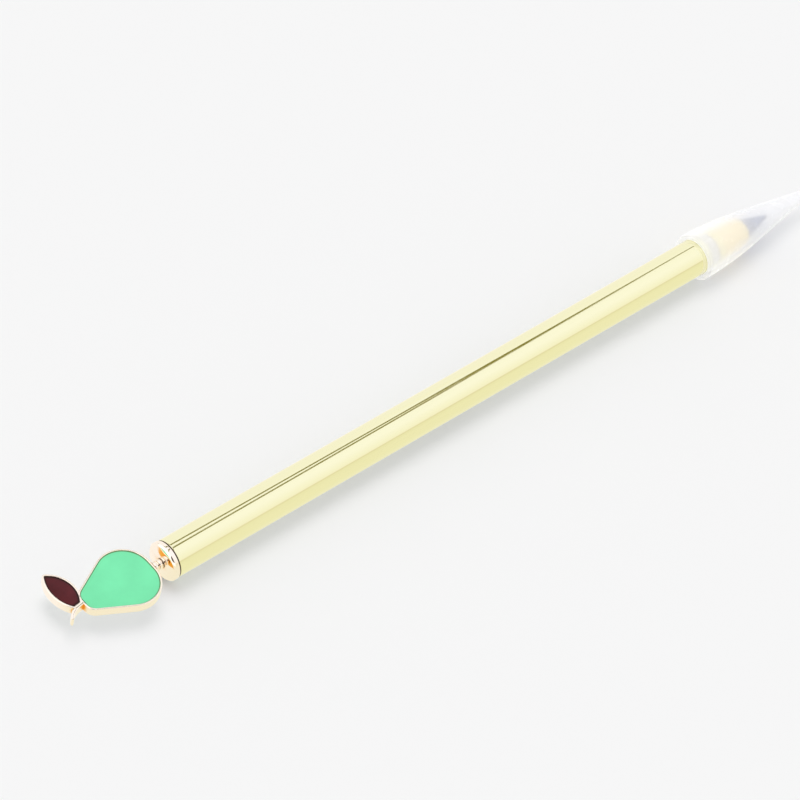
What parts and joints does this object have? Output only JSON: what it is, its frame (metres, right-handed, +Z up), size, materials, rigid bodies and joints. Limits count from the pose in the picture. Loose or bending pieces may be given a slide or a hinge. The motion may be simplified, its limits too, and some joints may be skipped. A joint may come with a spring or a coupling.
{
  "type": "everlasting pencil",
  "caption": "Slim metal writing stick with a screw-in alloy nib, an enamelled pear charm at its tail and a translucent push-on cap over the nib.",
  "frame": {"origin": "centre of the bounding box, on the surface that the pencil lies on", "axes": "+X along the barrel from the charm to the nib, +Z up with the charm's enamel facing up, +Y towards the leaf's side of the charm"},
  "size_m": [0.1924, 0.0154, 0.0099],
  "materials": {
    "barrel_metal": "polished, pale gold anodised",
    "rose_gold_plate": "polished, rose gold plated",
    "rose_gold_casting": "tumbled and polished casting, rose gold plated",
    "mint_enamel": "smooth poured enamel",
    "burgundy_enamel": "smooth poured enamel",
    "bush_plastic": "moulded, satin",
    "ring_metal": "turned, polished",
    "holder_metal": "turned, rose gold plated",
    "nib_alloy": "soft grey writing alloy, turned",
    "cap_plastic": "milky translucent, moulded"
  },
  "bodies": {
    "barrel": {"barrel_tube": "barrel_metal", "tail_ferrule": "rose_gold_plate", "charm_post": "rose_gold_plate", "charm_casting": "rose_gold_casting", "pear_enamel": "mint_enamel", "leaf_enamel": "burgundy_enamel", "front_bush": "bush_plastic"},
    "collar": {"collar_ring": "ring_metal"},
    "tip": {"nib_holder": "holder_metal", "nib": "nib_alloy"},
    "cap": {"cap": "cap_plastic"}
  },
  "joints": [
    {"name": "tip_advance", "type": "slide", "parent": "barrel", "child": "collar", "axis": [1, 0, 0], "range_m": [0, 0.0064]},
    {"name": "tip_unscrew", "type": "hinge", "parent": "collar", "child": "tip", "pos_m": [0.06759, -0.00154, 0.00495], "axis": [1, 0, 0], "range_deg": [0, 2880]},
    {"name": "cap_pull", "type": "slide", "parent": "tip", "child": "cap", "axis": [1, 0, 0], "range_m": [0, 0.026]}
  ],
  "couplings": [
    {"joint": "tip_unscrew", "follows": "tip_advance", "rad_per_m": 7854}
  ]
}
